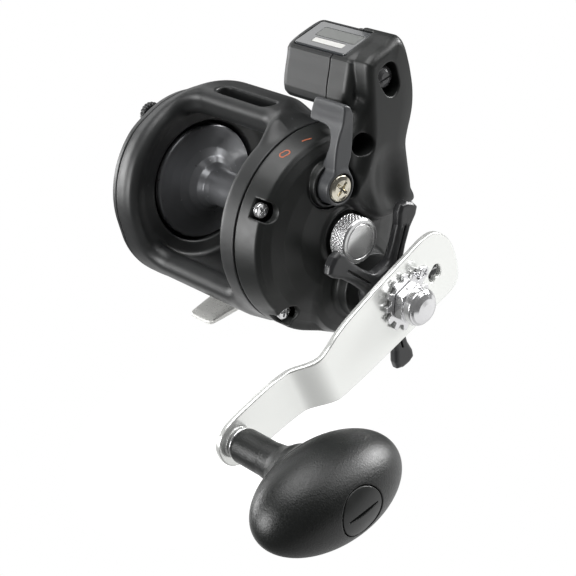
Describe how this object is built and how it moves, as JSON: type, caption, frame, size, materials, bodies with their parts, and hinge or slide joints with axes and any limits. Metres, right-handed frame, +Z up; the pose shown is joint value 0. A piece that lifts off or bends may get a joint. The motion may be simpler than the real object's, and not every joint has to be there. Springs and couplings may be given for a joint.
{
  "type": "trolling reel",
  "caption": "Star-drag trolling reel with level wind, line counter, clutch lever, clicker, counterweighted crank and round power knob, on a rod-seat foot.",
  "frame": {"origin": "middle of the flat land on the underside of the reel foot, where it rests in the rod's reel seat", "axes": "+X along the spool axis towards the crank, +Y forwards the way the line leaves, +Z up from the rod seat through the spool"},
  "size_m": [0.1607, 0.1355, 0.1069],
  "materials": {
    "graphite_body": "matte moulded graphite composite, charcoal black",
    "spool_metal": "satin dark anodised aluminium",
    "steel": "brushed stainless steel",
    "bright_arm": "polished aluminium",
    "bright_chrome": "bright chrome plating",
    "warm_nickel": "nickel plated, slightly warm",
    "gear_brass": "machined brass",
    "gear_plastic": "natural acetal",
    "black_star": "satin black",
    "grip_black": "fine grained black grip moulding",
    "friction_fibre": "drag washer fibre",
    "window_lens": "glossy smoked lens",
    "digit_white": "white digit drums"
  },
  "bodies": {
    "reel_body": {"frame": "graphite_body", "foot": "steel", "foot_screw_1": "steel", "foot_screw_2": "steel", "foot_screw_3": "steel", "foot_screw_4": "steel", "left_side_plate": "graphite_body", "left_plate_screw_1": "steel", "left_plate_screw_2": "steel", "left_bearing": "steel", "right_bearing": "steel", "bridge_plate": "steel", "right_side_plate": "graphite_body", "side_plate_screw_1": "steel", "side_plate_screw_2": "steel", "side_plate_screw_3": "steel", "anti_reverse_bearing": "steel", "counter_cover": "graphite_body", "counter_lens": "window_lens", "level_wind_tube": "steel"},
    "spool": {"spool": "spool_metal", "spool_shaft": "steel", "click_gear": "gear_brass", "spool_drive_gear": "gear_brass"},
    "clicker_button": {"clicker_button": "graphite_body"},
    "click_pawl": {"click_pawl": "steel"},
    "crank": {"drive_shaft": "steel", "main_gear": "gear_brass", "drag_washer": "friction_fibre", "drag_pressure_plate": "steel", "shaft_spacer": "steel", "handle_arm": "bright_arm", "handle_lock_plate": "bright_chrome", "handle_lock_screw": "bright_chrome", "handle_nut": "bright_chrome", "knob_post": "steel", "knob_washer": "bright_chrome"},
    "handle_knob": {"handle_knob": "grip_black", "knob_cap": "grip_black"},
    "star_drag": {"star_drag": "black_star"},
    "clutch_lever": {"clutch_lever": "graphite_body", "lever_screw": "warm_nickel", "clutch_cam": "steel"},
    "clutch_yoke": {"clutch_yoke": "steel"},
    "pinion": {"pinion_gear": "gear_brass"},
    "cast_control": {"cast_control_cap": "bright_chrome"},
    "level_wind_worm": {"level_wind_worm": "steel", "worm_gear": "gear_brass"},
    "line_guide": {"line_guide": "steel", "line_guide_pawl": "gear_brass"},
    "idler_gear": {"idler_gear": "gear_plastic"},
    "counter_gear_low": {"counter_gear_low": "gear_plastic"},
    "counter_gear_middle": {"counter_gear_middle": "gear_plastic"},
    "counter_gear_upper": {"counter_gear_upper": "gear_plastic"},
    "counter_shaft": {"counter_shaft": "steel"},
    "digit_units": {"digit_wheel_units": "digit_white"},
    "digit_tens": {"digit_wheel_tens": "digit_white"},
    "digit_hundreds": {"digit_wheel_hundreds": "digit_white"},
    "counter_reset": {"counter_reset_knob": "black_star"}
  },
  "joints": [
    {"name": "crank_turn", "type": "hinge", "parent": "reel_body", "child": "crank", "pos_m": [0.0678, 0.0005, 0.0152], "axis": [1, 0, 0], "continuous": true},
    {"name": "star_drag_turn", "type": "hinge", "parent": "crank", "child": "star_drag", "pos_m": [0.0628, 0.0005, 0.0152], "axis": [1, 0, 0], "range_deg": [-90, 270]},
    {"name": "knob_spin", "type": "hinge", "parent": "crank", "child": "handle_knob", "pos_m": [0.0898, -0.07146, 0.00354], "axis": [1, 0, 0], "continuous": true},
    {"name": "spool_spin", "type": "hinge", "parent": "reel_body", "child": "spool", "pos_m": [0.0048, -0.002, 0.0357], "axis": [1, 0, 0], "continuous": true},
    {"name": "pinion_spin", "type": "hinge", "parent": "clutch_yoke", "child": "pinion", "pos_m": [0.0448, -0.002, 0.0357], "axis": [1, 0, 0], "continuous": true},
    {"name": "clutch_yoke_slide", "type": "slide", "parent": "reel_body", "child": "clutch_yoke", "axis": [1, 0, 0], "range_m": [0, 0.001]},
    {"name": "clutch_lever_throw", "type": "hinge", "parent": "reel_body", "child": "clutch_lever", "pos_m": [0.0528, -0.0025, 0.0553], "axis": [1, 0, 0], "range_deg": [0, 35]},
    {"name": "cast_control_turn", "type": "hinge", "parent": "reel_body", "child": "cast_control", "pos_m": [0.0568, -0.002, 0.0357], "axis": [1, 0, 0], "range_deg": [-90, 270]},
    {"name": "worm_spin", "type": "hinge", "parent": "reel_body", "child": "level_wind_worm", "pos_m": [0.0098, 0.024, 0.0282], "axis": [1, 0, 0], "continuous": true},
    {"name": "line_guide_travel", "type": "slide", "parent": "reel_body", "child": "line_guide", "axis": [1, 0, 0], "range_m": [-0.017, 0.017]},
    {"name": "idler_gear_spin", "type": "hinge", "parent": "reel_body", "child": "idler_gear", "pos_m": [0.0408, 0.01148, 0.03181], "axis": [1, 0, 0], "continuous": true},
    {"name": "counter_gear_low_spin", "type": "hinge", "parent": "reel_body", "child": "counter_gear_low", "pos_m": [0.0408, 0.0233, 0.0387], "axis": [1, 0, 0], "continuous": true},
    {"name": "counter_gear_middle_spin", "type": "hinge", "parent": "reel_body", "child": "counter_gear_middle", "pos_m": [0.0418, 0.018, 0.052], "axis": [1, 0, 0], "continuous": true},
    {"name": "counter_gear_upper_spin", "type": "hinge", "parent": "reel_body", "child": "counter_gear_upper", "pos_m": [0.0418, 0.0247, 0.0673], "axis": [1, 0, 0], "continuous": true},
    {"name": "counter_shaft_spin", "type": "hinge", "parent": "reel_body", "child": "counter_shaft", "pos_m": [0.0348, 0.026, 0.0807], "axis": [1, 0, 0], "continuous": true},
    {"name": "digit_units_spin", "type": "hinge", "parent": "reel_body", "child": "digit_units", "pos_m": [0.0358, 0.026, 0.0807], "axis": [1, 0, 0], "continuous": true},
    {"name": "digit_tens_spin", "type": "hinge", "parent": "reel_body", "child": "digit_tens", "pos_m": [0.0314, 0.026, 0.0807], "axis": [1, 0, 0], "continuous": true},
    {"name": "digit_hundreds_spin", "type": "hinge", "parent": "reel_body", "child": "digit_hundreds", "pos_m": [0.0266, 0.026, 0.0807], "axis": [1, 0, 0], "continuous": true},
    {"name": "counter_reset_turn", "type": "hinge", "parent": "reel_body", "child": "counter_reset", "pos_m": [0.0498, 0.026, 0.0807], "axis": [1, 0, 0], "continuous": true},
    {"name": "clicker_slide", "type": "slide", "parent": "reel_body", "child": "clicker_button", "axis": [0, 0.9724, 0.2331], "range_m": [0, 0.003]},
    {"name": "click_pawl_rock", "type": "hinge", "parent": "reel_body", "child": "click_pawl", "pos_m": [-0.0252, 0.0016, 0.0461], "axis": [1, 0, 0], "range_deg": [-15, 15], "stiffness_Nm_per_rad": 0.002}
  ],
  "couplings": [
    {"joint": "spool_spin", "follows": "crank_turn", "ratio": -4.2308},
    {"joint": "pinion_spin", "follows": "crank_turn", "ratio": -4.2308},
    {"joint": "idler_gear_spin", "follows": "crank_turn", "ratio": 2.8205},
    {"joint": "worm_spin", "follows": "crank_turn", "ratio": -5.2071},
    {"joint": "counter_gear_low_spin", "follows": "crank_turn", "ratio": 3.9819},
    {"joint": "counter_gear_middle_spin", "follows": "crank_turn", "ratio": -2.5071},
    {"joint": "counter_gear_upper_spin", "follows": "crank_turn", "ratio": 2.8205},
    {"joint": "counter_shaft_spin", "follows": "crank_turn", "ratio": -3.9819},
    {"joint": "digit_units_spin", "follows": "crank_turn", "ratio": -0.165},
    {"joint": "digit_tens_spin", "follows": "crank_turn", "ratio": -0.0165},
    {"joint": "digit_hundreds_spin", "follows": "crank_turn", "ratio": -0.00165},
    {"joint": "clutch_yoke_slide", "follows": "clutch_lever_throw", "m_per_rad": 0.001621}
  ]
}
